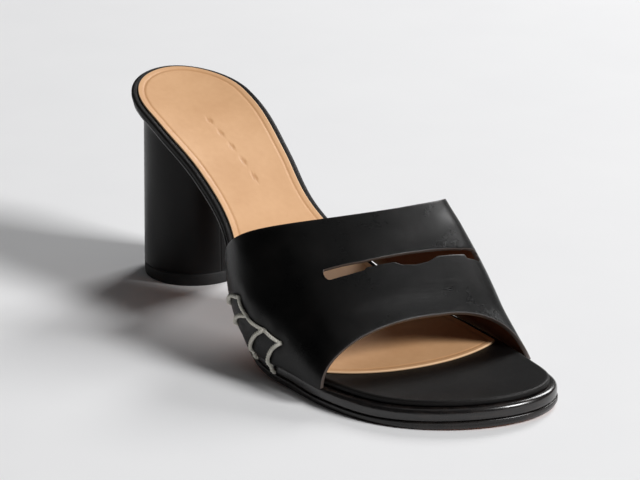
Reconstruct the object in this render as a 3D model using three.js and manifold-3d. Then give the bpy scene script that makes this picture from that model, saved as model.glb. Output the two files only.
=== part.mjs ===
// A high-heeled mule for the right foot: open toe, open back, one leather band over the forefoot.
// Millimetres. +X runs from heel to toe, +Y to the inner (medial) side of the foot, +Z is up.

import * as THREE from 'three';
import { mergeVertices } from 'three/addons/utils/BufferGeometryUtils.js';
import Module from 'manifold-3d';

// ---------- driving sizes ----------

const LENGTH = 228;                  // footbed, heel back to toe tip, measured along the floor
const CLEARANCE = 0.3;               // free gap between two pieces that touch on the real shoe

const HEEL_TIP_Y = 1.5;              // where the outline closes at the back
const TOE_TIP_Y = 12;                // the toe tip lies towards the big toe
const HEEL_ROUND = { lateral: 33, medial: 30 };    // length of the rounded heel end
const TOE_ROUND = { lateral: 62, medial: 33 };     // length of the rounded toe end

const SOCK_THICKNESS = 0.8;
const SOCK_INSET = 2.6;              // black footbed rim left showing around the sock
const SOCK_FRONT = 183.4;            // foremost point of the sock
const SOCK_FRONT_Y = 10;             // and how far towards the inner side it lies
const SOCK_FRONT_RADIUS = 82;

const FOOTBED_THICKNESS = 2.4;
const MIDSOLE_SETBACK = 0.3;         // midsole edge inside the outsole edge
const MIDSOLE_BACK = 106;            // the midsole runs forward from here

const UPPER_WALL = 1.6;

const HEEL_X = 26.1;                 // axis of the round heel
const HEEL_Y = -0.4;
const HEEL_RADIUS = 19.9;            // at the floor
const HEEL_TOP_RADIUS = 19.3;        // below the flare
const HEEL_FLARE_DEPTH = 7;          // height of the flare that meets the heel seat
const HEEL_SEAT = { back: 22.8, side: 23.2, front: 20.0 };   // half sizes of the flared top
const TOP_PIECE_HEIGHT = 5;

// One row for each section of the foot.
// at: fraction of LENGTH. lateral, medial: half widths of the footbed.
// top: height of the footbed rim. dish: how far its middle lies below the rim.
// drop: depth that the midsole layer takes. outsole: its thickness.
// outset: outsole edge beyond the footbed edge. tuck: how far its lower edge draws in.
const SECTIONS = [
  { at: 0.00, lateral: 26.0, medial: 24.4, top: 78.6, dish: 1.6, drop: 0.0, outsole: 2.3, outset: -0.5, tuck: 1.6 },
  { at: 0.12, lateral: 26.4, medial: 24.2, top: 73.1, dish: 1.8, drop: 0.0, outsole: 2.3, outset: -0.5, tuck: 1.6 },
  { at: 0.20, lateral: 27.4, medial: 22.6, top: 67.6, dish: 1.6, drop: 0.0, outsole: 2.3, outset: -0.4, tuck: 1.8 },
  { at: 0.30, lateral: 26.5, medial: 18.2, top: 57.2, dish: 1.0, drop: 0.0, outsole: 2.4, outset: -0.2, tuck: 2.0 },
  { at: 0.40, lateral: 27.8, medial: 15.2, top: 43.0, dish: 0.8, drop: 0.1, outsole: 2.5, outset: 0.2, tuck: 1.8 },
  { at: 0.50, lateral: 36.2, medial: 24.3, top: 25.4, dish: 0.8, drop: 1.6, outsole: 2.8, outset: 1.9, tuck: 1.0 },
  { at: 0.60, lateral: 40.0, medial: 35.8, top: 13.0, dish: 1.0, drop: 3.7, outsole: 3.0, outset: 3.0, tuck: 0.6 },
  { at: 0.70, lateral: 38.4, medial: 38.8, top: 10.4, dish: 1.3, drop: 4.6, outsole: 3.0, outset: 2.9, tuck: 0.6 },
  { at: 0.80, lateral: 38.8, medial: 38.0, top: 9.9, dish: 1.4, drop: 4.6, outsole: 3.0, outset: 3.0, tuck: 0.7 },
  { at: 0.90, lateral: 40.3, medial: 36.0, top: 10.0, dish: 1.4, drop: 4.6, outsole: 3.0, outset: 3.2, tuck: 0.8 },
  { at: 1.00, lateral: 39.3, medial: 41.0, top: 11.1, dish: 1.4, drop: 4.6, outsole: 3.0, outset: 3.0, tuck: 0.8 },
];

// The band's cross sections. height: crown above the footbed rim.
// crown: how far the crown leans to the inner side, under the instep.
// outset: outer face beyond the footbed edge, at the base. swell: how far the outer side bellies out.
const BAND_SECTIONS = [
  { at: 0.45, height: 64.4, crown: 29.3, outset: 2.4, swell: 3.0 },
  { at: 0.54, height: 57.2, crown: 23.6, outset: 4.4, swell: 4.8 },
  { at: 0.625, height: 46.4, crown: 18.5, outset: 4.4, swell: 5.2 },
  { at: 0.72, height: 31.1, crown: 13.2, outset: 3.8, swell: 5.2 },
  { at: 0.80, height: 15.0, crown: 8.6, outset: 3.2, swell: 4.6 },
  { at: 0.87, height: 3.0, crown: 5.0, outset: 2.8, swell: 4.0 },
];

// How each side of the band curves between its base and the crown.
const BAND_SIDE = {
  lateral: { roundness: 0.90, rise: 0.85, swell: 1.0 },
  medial: { roundness: 0.76, rise: 0.76, swell: 0.46 },
};

// Where the band starts and ends along the foot, at its outer base, inner base and crown.
const TOP_LINE = { lateral: 101, medial: 109.1, reach: 39.5, power: 1 };
const TOE_LINE = { lateral: 177.5, medial: 196, reach: -6.2, power: 1.37 };

// The slot across the band: a step at each end and a half moon in the middle.
// around: 0 at the outer base to 1 at the inner base. back, front: share of the band's depth.
const SLOT = [
  { around: 0.273, back: 0.440, front: 0.480 },
  { around: 0.280, back: 0.418, front: 0.512 },
  { around: 0.324, back: 0.428, front: 0.522 },
  { around: 0.362, back: 0.440, front: 0.520 },
  { around: 0.368, back: 0.442, front: 0.502 },
  { around: 0.434, back: 0.444, front: 0.504 },
  { around: 0.450, back: 0.443, front: 0.540 },
  { around: 0.479, back: 0.442, front: 0.556 },
  { around: 0.504, back: 0.446, front: 0.548 },
  { around: 0.525, back: 0.450, front: 0.510 },
  { around: 0.616, back: 0.456, front: 0.504 },
  { around: 0.624, back: 0.450, front: 0.536 },
  { around: 0.696, back: 0.440, front: 0.540 },
  { around: 0.704, back: 0.462, front: 0.505 },
];

// ---------- smooth columns ----------

// A smooth curve through one column of a table, as a function of x along the foot.
function column(table, name) {
  const xs = table.map((row) => row.at * LENGTH);
  const ys = table.map((row) => row[name]);
  const slopes = xs.map((_, i) => {
    const a = Math.max(i - 1, 0);
    const b = Math.min(i + 1, xs.length - 1);
    return (ys[b] - ys[a]) / (xs[b] - xs[a]);
  });
  return (x) => {
    let i = 0;
    while (i < xs.length - 2 && x > xs[i + 1]) i += 1;
    const span = xs[i + 1] - xs[i];
    const t = (x - xs[i]) / span;
    const bend = t * t * (3 - 2 * t);
    return ys[i] * (1 - bend) + ys[i + 1] * bend
      + span * (slopes[i] * t * (1 - t) ** 2 - slopes[i + 1] * t * t * (1 - t));
  };
}

const foot = Object.fromEntries(
  Object.keys(SECTIONS[0]).filter((name) => name !== 'at').map((name) => [name, column(SECTIONS, name)]),
);
const bandHeight = column(BAND_SECTIONS, 'height');
const bandCrown = column(BAND_SECTIONS, 'crown');
const bandOutset = column(BAND_SECTIONS, 'outset');
const bandSwell = column(BAND_SECTIONS, 'swell');

const clamp = THREE.MathUtils.clamp;

// ---------- the last: outline and heights ----------

// The footbed edge at x. side is 'lateral' (outer, -Y) or 'medial' (inner, +Y).
function edgeY(x, side) {
  const sign = side === 'lateral' ? -1 : 1;
  const toHeel = clamp(x / HEEL_ROUND[side], 0, 1);
  const toToe = clamp((LENGTH - x) / TOE_ROUND[side], 0, 1);
  const close = Math.sqrt(1 - (1 - toHeel) ** 2) * Math.sqrt(1 - (1 - toToe) ** 2);
  const tip = x < LENGTH / 2 ? HEEL_TIP_Y : TOE_TIP_Y;
  return tip + (sign * foot[side](x) - tip) * close;
}

const outsoleTop = (x) => foot.top(x) - FOOTBED_THICKNESS - CLEARANCE - Math.max(foot.drop(x), 0);
const outsoleUnder = (x) => Math.max(outsoleTop(x) - foot.outsole(x), 0);
const footbedTop = (x, t) => foot.top(x) - foot.dish(x) * (1 - t ** 3);

// Stations along the foot, close together where the outline turns.
function stations(heelSteps = 7, sideSteps = 15, toeSteps = 11) {
  const xs = [];
  const toeRun = TOE_ROUND.lateral;
  for (let i = 0; i < heelSteps; i += 1) {
    xs.push(HEEL_ROUND.lateral * (1 - Math.cos((i / heelSteps) * Math.PI / 2)));
  }
  for (let i = 0; i < sideSteps; i += 1) {
    xs.push(THREE.MathUtils.lerp(HEEL_ROUND.lateral, LENGTH - toeRun, i / sideSteps));
  }
  for (let i = 0; i <= toeSteps; i += 1) {
    xs.push(LENGTH - toeRun * (1 - Math.sin((i / toeSteps) * Math.PI / 2)));
  }
  return xs;
}

// The outline as one loop: outer side from heel to toe, then back along the inner side.
// Each point carries its outward direction and the point of the middle line that it belongs to.
function outlineLoop() {
  const xs = stations();
  const last = xs.length - 1;
  const loop = xs.map((x) => [x, edgeY(x, 'lateral')]);
  for (let i = last - 1; i > 0; i -= 1) loop.push([xs[i], edgeY(xs[i], 'medial')]);
  return loop.map(([x, y], i) => {
    const before = loop[(i + loop.length - 1) % loop.length];
    const after = loop[(i + 1) % loop.length];
    const out = new THREE.Vector2(after[1] - before[1], before[0] - after[0]).normalize();
    const midX = clamp(x, HEEL_ROUND.lateral, LENGTH - TOE_ROUND.medial);
    const midY = (edgeY(midX, 'lateral') + edgeY(midX, 'medial')) / 2;
    return { x, y, out, midX, midY };
  });
}
const LOOP = outlineLoop();

// A ring that lies `out` mm beyond the footbed edge. out may be a function of x.
function edgeRing(out, height) {
  return LOOP.map((p) => {
    const reach = typeof out === 'function' ? out(p.x) : out;
    const x = p.x + p.out.x * reach;
    const y = p.y + p.out.y * reach;
    const t = Math.hypot(x - p.midX, y - p.midY) / Math.hypot(p.x - p.midX, p.y - p.midY);
    return [x, y, height(clamp(x, 0, LENGTH), Math.min(t, 1))];
  });
}

// A ring at share t of the way from the middle line (0) to the footbed edge (1).
function innerRing(t, height) {
  return LOOP.map((p) => {
    const x = THREE.MathUtils.lerp(p.midX, p.x, t);
    return [x, THREE.MathUtils.lerp(p.midY, p.y, t), height(x, t)];
  });
}

// ---------- meshes ----------

// Turns loose corners and triangles into a closed outward-facing geometry.
function solid(points, triangles) {
  let geometry = new THREE.BufferGeometry();
  geometry.setAttribute('position', new THREE.Float32BufferAttribute(points.flat(), 3));
  geometry.setIndex(triangles.flat());
  geometry = mergeVertices(geometry, 1e-3);
  const index = geometry.index.array;
  const p = geometry.attributes.position;
  const [a, b, c] = [new THREE.Vector3(), new THREE.Vector3(), new THREE.Vector3()];
  const kept = [];
  let volume = 0;
  for (let i = 0; i < index.length; i += 3) {
    const [u, v, w] = [index[i], index[i + 1], index[i + 2]];
    if (u === v || v === w || w === u) continue;
    kept.push(u, v, w);
    volume += a.fromBufferAttribute(p, u).dot(b.fromBufferAttribute(p, v).cross(c.fromBufferAttribute(p, w)));
  }
  if (volume < 0) kept.reverse();
  geometry.setIndex(kept);
  return geometry;
}

// Skins a stack of rings, each a closed loop with the same number of points.
function skin(rings) {
  const count = rings[0].length;
  const triangles = [];
  for (let k = 0; k < rings.length - 1; k += 1) {
    for (let i = 0; i < count; i += 1) {
      const a = k * count + i;
      const b = k * count + ((i + 1) % count);
      triangles.push([a, b, b + count], [a, b + count, a + count]);
    }
  }
  return solid(rings.flat(), triangles);
}

// A sheet with a real thickness: front(u, v) and back(u, v) are its two faces.
function sheet(front, back, us, vs) {
  const points = [];
  for (const face of [front, back]) {
    for (const u of us) for (const v of vs) points.push(face(u, v));
  }
  const at = (face, i, j) => (face * us.length + i) * vs.length + j;
  const triangles = [];
  const quad = (a, b, c, d) => triangles.push([a, b, c], [a, c, d]);
  const [lastU, lastV] = [us.length - 1, vs.length - 1];
  for (let i = 0; i < lastU; i += 1) {
    for (let j = 0; j < lastV; j += 1) {
      quad(at(0, i, j), at(0, i + 1, j), at(0, i + 1, j + 1), at(0, i, j + 1));
      quad(at(1, i, j), at(1, i, j + 1), at(1, i + 1, j + 1), at(1, i + 1, j));
    }
    quad(at(0, i, 0), at(1, i, 0), at(1, i + 1, 0), at(0, i + 1, 0));
    quad(at(0, i, lastV), at(0, i + 1, lastV), at(1, i + 1, lastV), at(1, i, lastV));
  }
  for (let j = 0; j < lastV; j += 1) {
    quad(at(0, 0, j), at(0, 0, j + 1), at(1, 0, j + 1), at(1, 0, j));
    quad(at(0, lastU, j), at(1, lastU, j), at(1, lastU, j + 1), at(0, lastU, j + 1));
  }
  return solid(points, triangles);
}

const steps = (count, from = 0, to = 1) => (
  Array.from({ length: count + 1 }, (_, i) => from + ((to - from) * i) / count)
);

// ---------- cuts ----------

const wasm = await Module();
wasm.setup();

function toManifold(geometry) {
  const p = geometry.attributes.position;
  return new wasm.Manifold(new wasm.Mesh({
    numProp: 3,
    vertProperties: Float32Array.from(p.array),
    triVerts: Uint32Array.from(geometry.index.array),
  }));
}

function fromManifold(body) {
  const mesh = body.getMesh();
  const geometry = new THREE.BufferGeometry();
  geometry.setAttribute('position', new THREE.Float32BufferAttribute(mesh.vertProperties, 3));
  geometry.setIndex(Array.from(mesh.triVerts));
  return geometry;
}

const cut = (body, tool) => fromManifold(toManifold(body).subtract(toManifold(tool)));
const common = (body, tool) => fromManifold(toManifold(body).intersect(toManifold(tool)));

// ---------- sole ----------

function footbed() {
  const under = (x) => foot.top(x) - FOOTBED_THICKNESS;
  return skin([
    innerRing(0, footbedTop),
    innerRing(0.45, footbedTop),
    innerRing(0.8, footbedTop),
    edgeRing(-1.6, footbedTop),
    edgeRing(-0.5, (x) => foot.top(x) - 0.15),
    edgeRing(0, (x) => foot.top(x) - 0.8),
    edgeRing(0, (x) => under(x) + 0.7),
    edgeRing(-0.7, under),
    innerRing(0.5, under),
    innerRing(0, under),
  ]);
}

// The sock follows the footbed and stops at a shallow arc under the toe opening.
function sock() {
  const under = (x, t) => footbedTop(x, t) + CLEARANCE;
  const top = (x, t) => under(x, t) + SOCK_THICKNESS;
  const whole = skin([
    innerRing(0, top),
    innerRing(0.45, top),
    innerRing(0.8, top),
    edgeRing(-SOCK_INSET - 0.35, top),
    edgeRing(-SOCK_INSET, (x, t) => top(x, t) - 0.4),
    edgeRing(-SOCK_INSET, under),
    innerRing(0.8, under),
    innerRing(0.45, under),
    innerRing(0, under),
  ]);
  const halfWidth = 50;
  const sweep = Math.asin(halfWidth / SOCK_FRONT_RADIUS);
  const outline = new THREE.Shape();
  outline.absarc(SOCK_FRONT - SOCK_FRONT_RADIUS, SOCK_FRONT_Y, SOCK_FRONT_RADIUS, -sweep, sweep, false);
  outline.lineTo(-20, SOCK_FRONT_Y + halfWidth);
  outline.lineTo(-20, SOCK_FRONT_Y - halfWidth - 10);
  const keep = new THREE.ExtrudeGeometry(outline, { depth: 100, bevelEnabled: false, curveSegments: 16 });
  keep.deleteAttribute('normal');
  keep.deleteAttribute('uv');
  return common(whole, mergeVertices(keep, 1e-3));
}

function outsole() {
  const outset = (x) => foot.outset(x);
  const drawnIn = (x) => foot.outset(x) - foot.tuck(x);
  return skin([
    innerRing(0, outsoleTop),
    innerRing(0.5, outsoleTop),
    innerRing(0.85, outsoleTop),
    edgeRing((x) => outset(x) - 0.4, outsoleTop),
    edgeRing(outset, (x) => outsoleTop(x) - 0.4),
    edgeRing(outset, (x) => outsoleTop(x) - 0.55 * foot.outsole(x)),
    edgeRing(drawnIn, outsoleUnder),
    innerRing(0.85, outsoleUnder),
    innerRing(0.5, outsoleUnder),
    innerRing(0, outsoleUnder),
  ]);
}

// A thin layer under the forefoot, skived away towards the waist.
function midsole() {
  const top = (x) => foot.top(x) - FOOTBED_THICKNESS - CLEARANCE;
  const under = (x) => Math.min(outsoleTop(x) + CLEARANCE, top(x) - 0.15);
  const edge = (inset) => (x) => foot.outset(x) - MIDSOLE_SETBACK - inset;
  const down = (share) => (x) => THREE.MathUtils.lerp(top(x), under(x), share);
  const whole = skin([
    innerRing(0, top),
    innerRing(0.5, top),
    innerRing(0.85, top),
    edgeRing(edge(1.1), top),
    edgeRing(edge(0.35), down(0.1)),
    edgeRing(edge(0), down(0.35)),
    edgeRing(edge(0), down(0.9)),
    edgeRing(edge(0.3), under),
    innerRing(0.85, under),
    innerRing(0.5, under),
    innerRing(0, under),
  ]);
  const keep = new THREE.BoxGeometry(200, 200, 200);
  keep.translate(MIDSOLE_BACK + 100, 0, 0);
  keep.deleteAttribute('normal');
  keep.deleteAttribute('uv');
  return common(whole, mergeVertices(keep, 1e-3));
}

// ---------- heel ----------

const AROUND_HEEL = steps(40).slice(0, -1).map((s) => s * 2 * Math.PI);

function heelRing(radius, height) {
  return AROUND_HEEL.map((angle) => {
    const r = typeof radius === 'function' ? radius(angle) : radius;
    const x = HEEL_X + r * Math.cos(angle);
    return [x, HEEL_Y + r * Math.sin(angle), typeof height === 'function' ? height(x) : height];
  });
}

// The flared top: an oval that is longer to the back than to the front.
function seatRadius(angle) {
  const along = Math.cos(angle) < 0 ? HEEL_SEAT.back : HEEL_SEAT.front;
  return 1 / Math.hypot(Math.cos(angle) / along, Math.sin(angle) / HEEL_SEAT.side);
}

function heel() {
  const foot_z = TOP_PIECE_HEIGHT + CLEARANCE;
  const seat = (x) => outsoleUnder(Math.max(x, 0)) - CLEARANCE;
  const flare = (share) => (angle) => THREE.MathUtils.lerp(HEEL_TOP_RADIUS, seatRadius(angle), share);
  return skin([
    heelRing(0, foot_z),
    heelRing(HEEL_RADIUS - 0.5, foot_z),
    heelRing(HEEL_RADIUS, foot_z + 0.5),
    heelRing((HEEL_RADIUS + HEEL_TOP_RADIUS) / 2, (x) => (foot_z + seat(x) - HEEL_FLARE_DEPTH) / 2),
    ...[0, 0.15, 0.4, 0.7, 0.9, 1].map((share) => (
      heelRing(flare(share), (x) => seat(x) - HEEL_FLARE_DEPTH * (1 - Math.sqrt(share)) - (share < 1 ? 0.5 : 0))
    )),
    heelRing(0.55 * HEEL_TOP_RADIUS, seat),
    heelRing(0, seat),
  ]);
}

function heelTopPiece() {
  return skin([
    heelRing(0, 0),
    heelRing(HEEL_RADIUS - 0.6, 0),
    heelRing(HEEL_RADIUS, 0.6),
    heelRing(HEEL_RADIUS, TOP_PIECE_HEIGHT),
    heelRing(0, TOP_PIECE_HEIGHT),
  ]);
}

// ---------- band ----------

function lineAt(line, around) {
  const bow = Math.sin(Math.PI * around) ** line.power;
  return THREE.MathUtils.lerp(line.lateral, line.medial, around) + line.reach * bow;
}

// The outer face. along: 0 at the top line to 1 at the toe line. around: outer base to inner base.
// Its curve is rooted on the outsole, and the band itself starts where that curve leaves the midsole.
function bandPoint(along, around) {
  const x = THREE.MathUtils.lerp(lineAt(TOP_LINE, around), lineAt(TOE_LINE, around), along);
  const side = around < 0.5 ? 'lateral' : 'medial';
  const shape = BAND_SIDE[side];
  const root = outsoleTop(x) + CLEARANCE;
  const base = foot.top(x) - FOOTBED_THICKNESS;
  const rise = foot.top(x) + bandHeight(x) - root;
  const start = Math.asin((Math.max(base - root, 0) / rise) ** (1 / shape.rise)) / Math.PI;
  const turn = start + (1 - 2 * start) * clamp(around < 0.5 ? around : 1 - around, 0, 0.5);
  const across = (around < 0.5 ? 1 : -1) * Math.cos(Math.PI * turn);
  const up = Math.sin(Math.PI * turn);
  const outer = edgeY(x, 'lateral') - bandOutset(x);
  const inner = edgeY(x, 'medial') + bandOutset(x);
  const y = (outer + inner) / 2
    - Math.sign(across) * (((inner - outer) / 2) * Math.abs(across) ** shape.roundness
    + shape.swell * bandSwell(x) * 2 * up * Math.abs(across))
    + bandCrown(x) * up ** 2;
  const z = root + rise * up ** shape.rise;
  return new THREE.Vector3(x, y, z);
}

// A point `out` mm off the outer face, square to it.
function offBand(along, around, out) {
  const h = 0.012;
  const a = clamp(around, h, 1 - h);
  const alongward = bandPoint(along + h, a).sub(bandPoint(along - h, a));
  const aroundward = bandPoint(along, a + h).sub(bandPoint(along, a - h));
  const normal = alongward.cross(aroundward).normalize();
  const point = bandPoint(along, around).addScaledVector(normal, out);
  if (around === 0 || around === 1) point.z = bandPoint(along, around).z;
  return point.toArray();
}

function upper() {
  const band = sheet(
    (along, around) => offBand(along, around, 0),
    (along, around) => offBand(along, around, -UPPER_WALL),
    steps(16),
    steps(48),
  );
  const [slotOver, slotUnder] = [1.5, -UPPER_WALL - 1.5];
  const slotFace = (out) => (share, row) => (
    offBand(THREE.MathUtils.lerp(row.back, row.front, share), row.around, out)
  );
  return cut(band, sheet(slotFace(slotOver), slotFace(slotUnder), steps(2), SLOT));
}

// ---------- assembly ----------

const LEATHER = { color: 0x161618, roughness: 0.36, metalness: 0 };
const FINISH = {
  upper: LEATHER,
  footbed: { color: 0x141416, roughness: 0.42, metalness: 0 },
  sock: { color: 0xdcae80, roughness: 0.6, metalness: 0 },
  midsole: { color: 0x18181a, roughness: 0.4, metalness: 0 },
  outsole: { color: 0x1c1a19, roughness: 0.5, metalness: 0 },
  heel: { color: 0x151517, roughness: 0.38, metalness: 0 },
  heel_top_piece: { color: 0x101011, roughness: 0.75, metalness: 0 },
};
const PIECES = { upper, footbed, sock, midsole, outsole, heel, heel_top_piece: heelTopPiece };

const group = new THREE.Group();
for (const [name, build] of Object.entries(PIECES)) {
  const geometry = build();
  geometry.computeVertexNormals();
  const mesh = new THREE.Mesh(geometry, new THREE.MeshStandardMaterial(FINISH[name]));
  mesh.name = name;
  group.add(mesh);
}

// The origin lies on the floor, at the middle of the whole shoe.
const box = new THREE.Box3().setFromObject(group);
const middle = box.getCenter(new THREE.Vector3());
group.position.set(-middle.x, -middle.y, -box.min.z);

export default group;
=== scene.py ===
# %% [markdown]
# # A high-heeled leather mule, right foot
# The shoe is a stiff spine (heel and soles) with one soft band over the forefoot.
# Everything is worked out in millimetres along the foot and then placed in the frame in metres.
# X runs from heel to toe, Y to the inner side of the foot, and Z is up.

# %% Load the fixed frame
import math

import bmesh
import bpy
import numpy as np
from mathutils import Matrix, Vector


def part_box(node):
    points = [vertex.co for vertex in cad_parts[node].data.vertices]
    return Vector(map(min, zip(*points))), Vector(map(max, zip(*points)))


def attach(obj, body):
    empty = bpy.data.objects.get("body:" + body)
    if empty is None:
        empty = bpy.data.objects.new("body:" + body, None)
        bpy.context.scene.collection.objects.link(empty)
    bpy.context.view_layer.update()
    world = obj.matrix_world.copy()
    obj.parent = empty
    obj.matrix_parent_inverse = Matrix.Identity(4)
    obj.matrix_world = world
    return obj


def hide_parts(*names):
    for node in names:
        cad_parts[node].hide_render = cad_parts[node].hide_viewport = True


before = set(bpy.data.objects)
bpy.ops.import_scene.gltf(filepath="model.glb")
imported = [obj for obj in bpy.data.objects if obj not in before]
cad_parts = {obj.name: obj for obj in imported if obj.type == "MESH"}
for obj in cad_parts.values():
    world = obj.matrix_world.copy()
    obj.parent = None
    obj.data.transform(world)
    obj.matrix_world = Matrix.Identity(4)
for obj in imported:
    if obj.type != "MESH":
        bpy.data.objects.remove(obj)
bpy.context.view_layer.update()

print("frame nodes:", sorted(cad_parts))


def show(name, data):
    """Puts a new object in the scene."""
    made = bpy.data.objects.new(name, data)
    bpy.context.scene.collection.objects.link(made)
    return made


# %% [markdown]
# ## Where millimetres land in the frame
# The shoemaker measures from the back of the footbed. The frame puts its origin under the
# middle of the shoe, so two CAD boxes give the shift: the back of the footbed is x = 0,
# and the round heel's axis lies 0.4 mm to the outer side.

# %% The shift between the two
MM = 0.001
HEEL_Y = -0.4
heel_tip_low, heel_tip_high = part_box("heel_top_piece")
ORIGIN = np.array([
    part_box("footbed")[0].x,
    (heel_tip_low.y + heel_tip_high.y) / 2 - HEEL_Y * MM,
    0.0,
])


def place(points):
    """Millimetres along the foot to metres in the frame."""
    return np.asarray(points, float) * MM + ORIGIN


print("origin of the foot in the frame:", np.round(ORIGIN, 5))

# %% [markdown]
# ## The camera
# It looks down on the outer side of the shoe from in front, from about 1.3 metres away.
# A long lens from far off keeps the shoe's own proportions, where a short lens close
# by would swell the toe.

# %% Camera
CAMERA_FROM_FOOT = (1150.1, -698.6, 473.4)
AIM_AT_FOOT = (114.85, 0.4, 38.0)
LENS = 196.9

camera = show("camera", bpy.data.cameras.new("camera"))
camera.location = place(CAMERA_FROM_FOOT)
gaze = Vector(place(AIM_AT_FOOT)) - camera.location
camera.rotation_euler = gaze.to_track_quat("-Z", "Y").to_euler()
camera.data.lens = LENS
camera.data.sensor_width = 36.0
camera.data.clip_end = 50.0
bpy.context.scene.camera = camera
print("camera is", round(gaze.length, 3), "m away")

# %% [markdown]
# ## The last, as a table
# A last is the foot-shaped block that a shoe is built on. One row is one section across it:
# half widths to the outer (lateral) and inner (medial) side, the height of the footbed rim,
# how deep the footbed is dished, how thick the two sole layers are, how far the outsole
# edge stands out beyond the footbed, and how far its lower edge tucks in again.

# %% Sections of the foot
LENGTH = 228.0
FOOT = np.array([
    (0.00, 26.0, 24.4, 78.6, 1.6, 0.0, 2.3, -0.5, 1.6),
    (0.12, 26.4, 24.2, 73.1, 1.8, 0.0, 2.3, -0.5, 1.6),
    (0.20, 27.4, 22.6, 67.6, 1.6, 0.0, 2.3, -0.4, 1.8),
    (0.30, 26.5, 18.2, 57.2, 1.0, 0.0, 2.4, -0.2, 2.0),
    (0.40, 27.8, 15.2, 43.0, 0.8, 0.1, 2.5, 0.2, 1.8),
    (0.50, 36.2, 24.3, 25.4, 0.8, 1.6, 2.8, 1.9, 1.0),
    (0.60, 40.0, 35.8, 13.0, 1.0, 3.7, 3.0, 3.0, 0.6),
    (0.70, 38.4, 38.8, 10.4, 1.3, 4.6, 3.0, 2.9, 0.6),
    (0.80, 38.8, 38.0, 9.9, 1.4, 4.6, 3.0, 3.0, 0.7),
    (0.90, 40.3, 36.0, 10.0, 1.4, 4.6, 3.0, 3.2, 0.8),
    (1.00, 39.3, 41.0, 11.1, 1.4, 4.6, 3.0, 3.0, 0.8),
], dtype=[(name, float) for name in (
    "at", "lateral", "medial", "top", "dish", "drop", "outsole", "outset", "tuck")])

# %% A smooth curve through one column
SOFTEN = 5.0          # mm over which a column's bends are rounded


def column(table, name):
    """A function of x along the foot that runs smoothly through one column."""
    at, values = table["at"] * LENGTH, table[name]
    slopes = np.gradient(values, at)
    slopes[1:-1] = (values[2:] - values[:-2]) / (at[2:] - at[:-2])
    fine = np.arange(at[0], at[-1] + 0.1, 0.2)
    row = np.clip(np.searchsorted(at, fine, side="right") - 1, 0, len(at) - 2)
    span = at[row + 1] - at[row]
    t = (fine - at[row]) / span
    bend = t * t * (3 - 2 * t)
    curve = values[row] * (1 - bend) + values[row + 1] * bend + span * (
        slopes[row] * t * (1 - t) ** 2 - slopes[row + 1] * t * t * (1 - t))
    half = round(SOFTEN / 0.2)
    weight = np.hanning(2 * half + 3)[1:-1]
    padded = np.pad(curve, half, mode="reflect", reflect_type="odd")
    soft = np.convolve(padded, weight / weight.sum(), "valid")
    return lambda x: np.interp(x, fine, soft)


foot = {name: column(FOOT, name) for name in FOOT.dtype.names[1:]}
print("rim height at the ball:", round(float(foot["top"](150)), 2), "mm")

# %% [markdown]
# ## The outline
# Seen from above, the footbed is two side curves that close in a rounded heel and a rounded
# toe. A circle-like closing term brings both sides to the middle with the right fullness.

# %% Outline of the footbed
HEEL_TIP_Y, TOE_TIP_Y = 1.5, 12.0
HEEL_ROUND = {"lateral": 33.0, "medial": 30.0}
TOE_ROUND = {"lateral": 62.0, "medial": 33.0}
SIGN = {"lateral": -1.0, "medial": 1.0}


def edge_y(x, side):
    """The footbed's edge at x."""
    to_heel = np.clip(x / HEEL_ROUND[side], 0, 1)
    to_toe = np.clip((LENGTH - x) / TOE_ROUND[side], 0, 1)
    close = np.sqrt(1 - (1 - to_heel) ** 2) * np.sqrt(1 - (1 - to_toe) ** 2)
    tip = np.where(x < LENGTH / 2, HEEL_TIP_Y, TOE_TIP_Y)
    return tip + (SIGN[side] * foot[side](x) - tip) * close


def stations(heel_steps=36, side_steps=110, toe_steps=60):
    """x along the foot, close together where the outline turns."""
    heel, toe = HEEL_ROUND["lateral"], TOE_ROUND["lateral"]
    turn_in = np.arange(heel_steps) / heel_steps * np.pi / 2
    turn_out = np.arange(toe_steps + 1) / toe_steps * np.pi / 2
    side = np.arange(side_steps) / side_steps
    return np.concatenate([
        heel * (1 - np.cos(turn_in)),
        heel + (LENGTH - toe - heel) * side,
        LENGTH - toe * (1 - np.sin(turn_out)),
    ])


along_foot = stations()
LOOP_X = np.concatenate([along_foot, along_foot[-2:0:-1]])
LOOP_Y = np.concatenate([
    edge_y(along_foot, "lateral"), edge_y(along_foot[-2:0:-1], "medial")])
OUT_X = np.roll(LOOP_Y, -1) - np.roll(LOOP_Y, 1)
OUT_Y = np.roll(LOOP_X, 1) - np.roll(LOOP_X, -1)
OUT_X, OUT_Y = OUT_X / np.hypot(OUT_X, OUT_Y), OUT_Y / np.hypot(OUT_X, OUT_Y)
SPINE_BACK, SPINE_FRONT = HEEL_ROUND["lateral"], LENGTH - TOE_ROUND["medial"]


def spine(x):
    """The point of the middle line that belongs to x."""
    middle = np.clip(x, SPINE_BACK, SPINE_FRONT)
    return middle, (edge_y(middle, "lateral") + edge_y(middle, "medial")) / 2


MID_X, MID_Y = spine(LOOP_X)
print("outline points:", len(LOOP_X))

# %% Rings round the foot
def edge_ring(out, height):
    """A ring `out` mm beyond the footbed edge. out is a number or a function of x."""
    reach = out(LOOP_X) if callable(out) else out
    x, y = LOOP_X + OUT_X * reach, LOOP_Y + OUT_Y * reach
    share = np.hypot(x - MID_X, y - MID_Y) / np.hypot(LOOP_X - MID_X, LOOP_Y - MID_Y)
    return np.column_stack([x, y, height(np.clip(x, 0, LENGTH), np.minimum(share, 1))])


def inner_ring(share, height):
    """A ring at that share of the way from the middle line to the footbed edge."""
    x = MID_X + (LOOP_X - MID_X) * share
    return np.column_stack([x, MID_Y + (LOOP_Y - MID_Y) * share, height(x, share)])


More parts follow.
